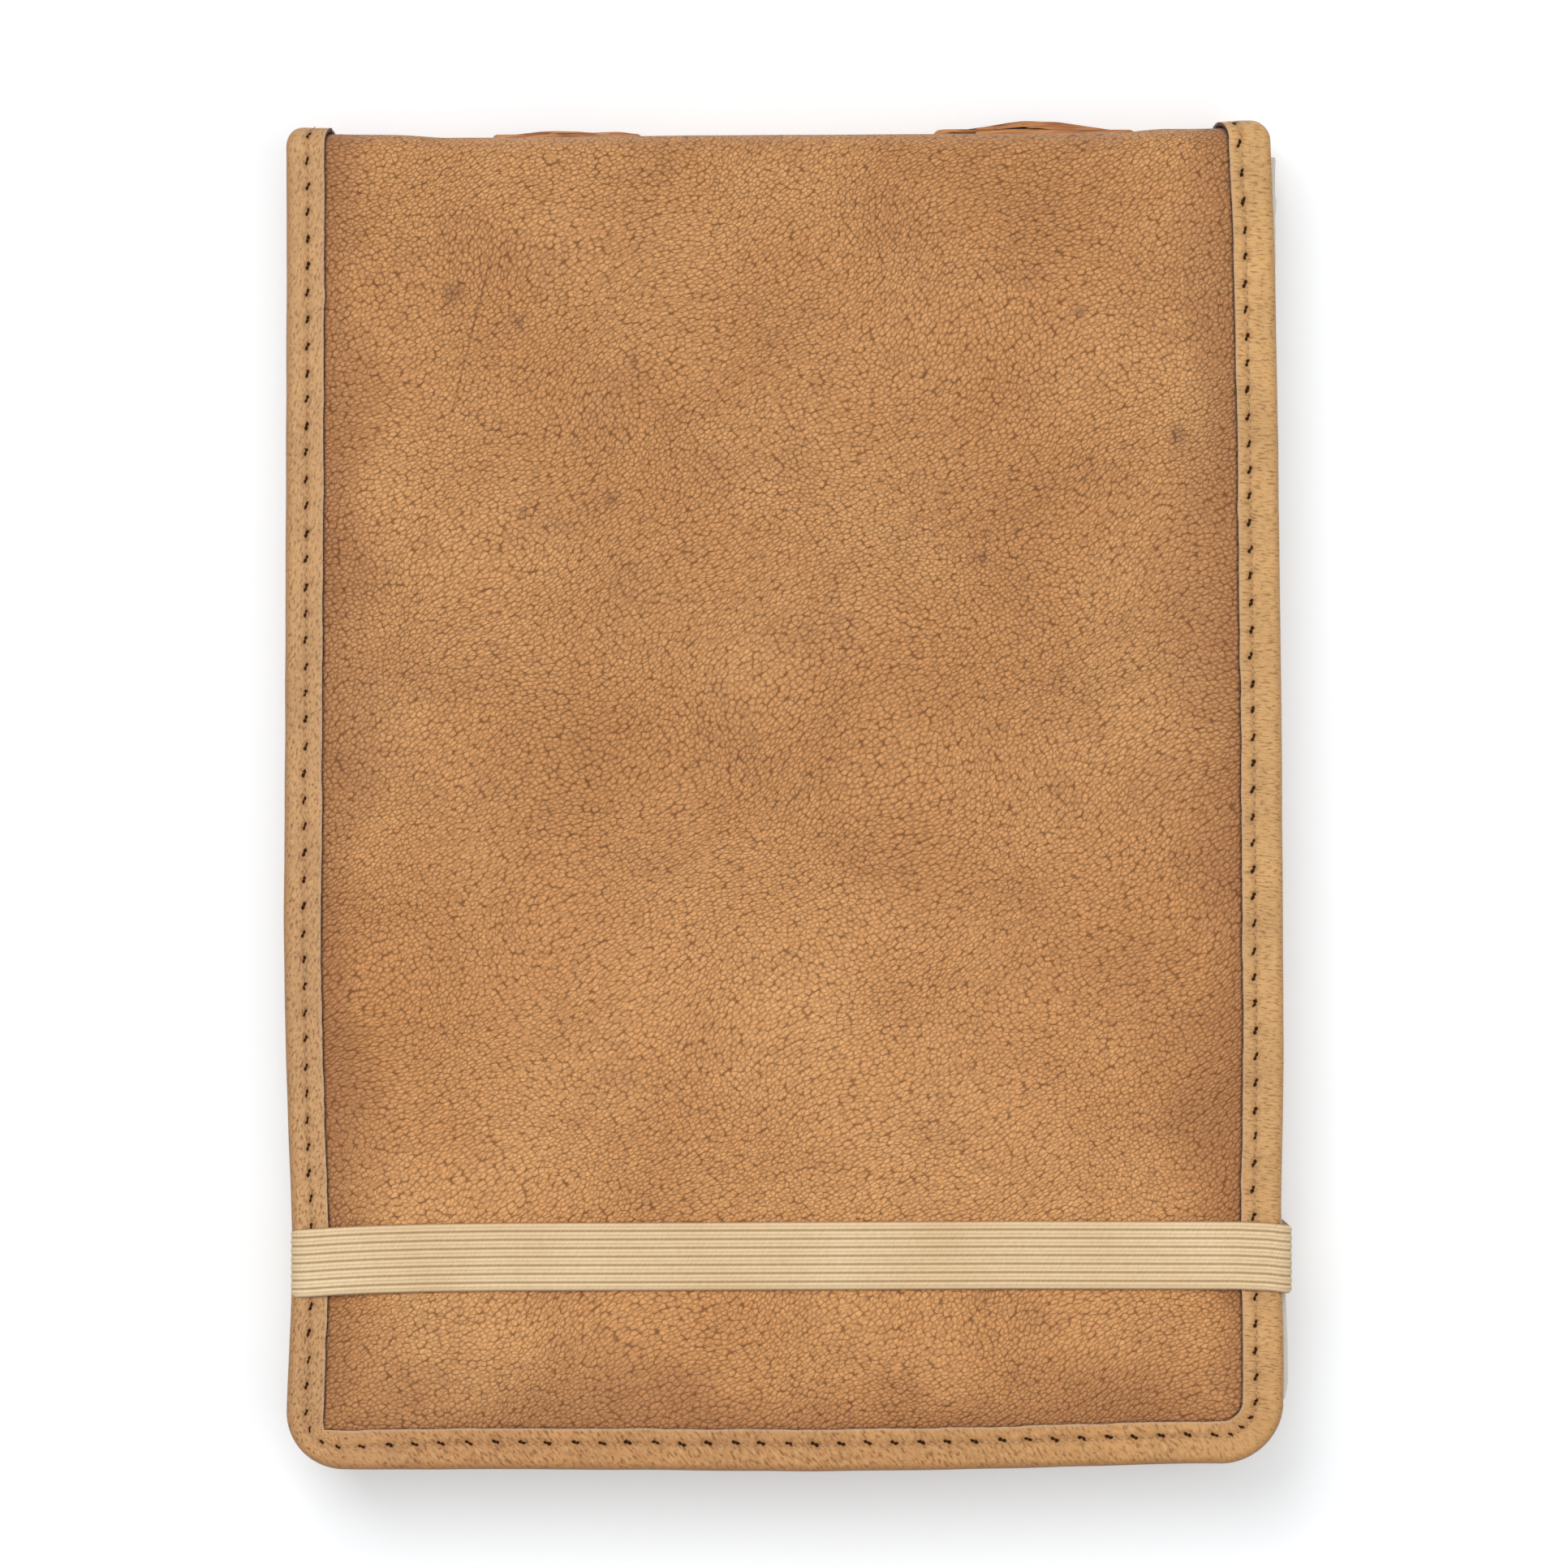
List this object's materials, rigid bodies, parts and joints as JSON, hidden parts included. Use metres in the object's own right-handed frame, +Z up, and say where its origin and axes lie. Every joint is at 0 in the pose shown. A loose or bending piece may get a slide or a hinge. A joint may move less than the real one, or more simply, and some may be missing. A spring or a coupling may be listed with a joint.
{
  "type": "leather notebook cover",
  "caption": "Soft leather journal bound at its top edge, with stitched edge binding, sewn handmade paper, long stitches on the spine and an elastic band that holds it shut.",
  "frame": {"origin": "centre of the closed journal's underside, on the surface it lies on", "axes": "+Z up through the closed journal from back cover to front cover, +Y towards the spine, +X to the right as the front cover is looked at with the spine at the top"},
  "size_m": [0.136, 0.1792, 0.0269],
  "materials": {
    "goat_leather": "tan goat leather with a fine cracked grain",
    "binding_leather": "skived tan leather strip, folded and stitched",
    "lining_leather": "thin plain leather lining",
    "board": "thin stiffening board",
    "handmade_paper": "off-white handmade paper",
    "linen_thread": "waxed brown linen thread",
    "lacing_cord": "twisted tan and brown waxed cord",
    "ribbed_elastic": "cream ribbed elastic webbing"
  },
  "bodies": {
    "block": {"signature_1": "handmade_paper", "signature_2": "handmade_paper", "signature_3": "handmade_paper", "signature_4": "handmade_paper", "signature_5": "handmade_paper", "signature_6": "handmade_paper", "signature_7": "handmade_paper", "sewing_thread": "linen_thread", "lacing_left": "lacing_cord", "lacing_right": "lacing_cord", "spine_leather": "goat_leather", "spine_lining": "lining_leather", "spine_binding_left": "binding_leather", "spine_binding_right": "binding_leather", "front_crease_leather": "goat_leather", "front_crease_lining": "lining_leather", "front_crease_binding": "binding_leather", "back_crease_leather": "goat_leather", "back_crease_lining": "lining_leather", "back_crease_binding": "binding_leather"},
    "front_cover": {"front_leather": "goat_leather", "front_board": "board", "front_lining": "lining_leather", "front_binding": "binding_leather"},
    "back_cover": {"back_leather": "goat_leather", "back_board": "board", "back_lining": "lining_leather", "back_binding": "binding_leather", "band_ends": "ribbed_elastic"},
    "band": {"elastic_band": "ribbed_elastic"},
    "leaf_1": {"turning_leaf_1": "handmade_paper"},
    "leaf_2": {"turning_leaf_2": "handmade_paper"},
    "leaf_3": {"turning_leaf_3": "handmade_paper"}
  },
  "joints": [
    {"name": "front_cover_hinge", "type": "hinge", "parent": "block", "child": "front_cover", "pos_m": [0, 0.0854, 0.0214], "axis": [-1, 0, 0], "range_deg": [0, 180], "deforming": ["front_crease_leather", "front_crease_lining", "front_crease_binding"]},
    {"name": "back_cover_hinge", "type": "hinge", "parent": "block", "child": "back_cover", "pos_m": [0, 0.0854, 0.0044], "axis": [1, 0, 0], "range_deg": [0, 180], "deforming": ["back_crease_leather", "back_crease_lining", "back_crease_binding"]},
    {"name": "band_swing", "type": "hinge", "parent": "back_cover", "child": "band", "pos_m": [0, -0.0614, 0.003], "axis": [1, 0, 0], "range_deg": [0, 180], "deforming": ["elastic_band"]},
    {"name": "leaf_1_turn", "type": "hinge", "parent": "block", "child": "leaf_1", "pos_m": [0, 0.0849, 0.02092], "axis": [-1, 0, 0], "range_deg": [0, 167.4]},
    {"name": "leaf_2_turn", "type": "hinge", "parent": "block", "child": "leaf_2", "pos_m": [0, 0.0849, 0.02092], "axis": [-1, 0, 0], "range_deg": [0, 162]},
    {"name": "leaf_3_turn", "type": "hinge", "parent": "block", "child": "leaf_3", "pos_m": [0, 0.0849, 0.02092], "axis": [-1, 0, 0], "range_deg": [0, 156.6]}
  ],
  "couplings": [
    {"joint": "band_swing", "follows": "front_cover_hinge", "ratio": 1},
    {"joint": "leaf_1_turn", "follows": "front_cover_hinge", "ratio": 0.93},
    {"joint": "leaf_2_turn", "follows": "front_cover_hinge", "ratio": 0.9},
    {"joint": "leaf_3_turn", "follows": "front_cover_hinge", "ratio": 0.87}
  ]
}
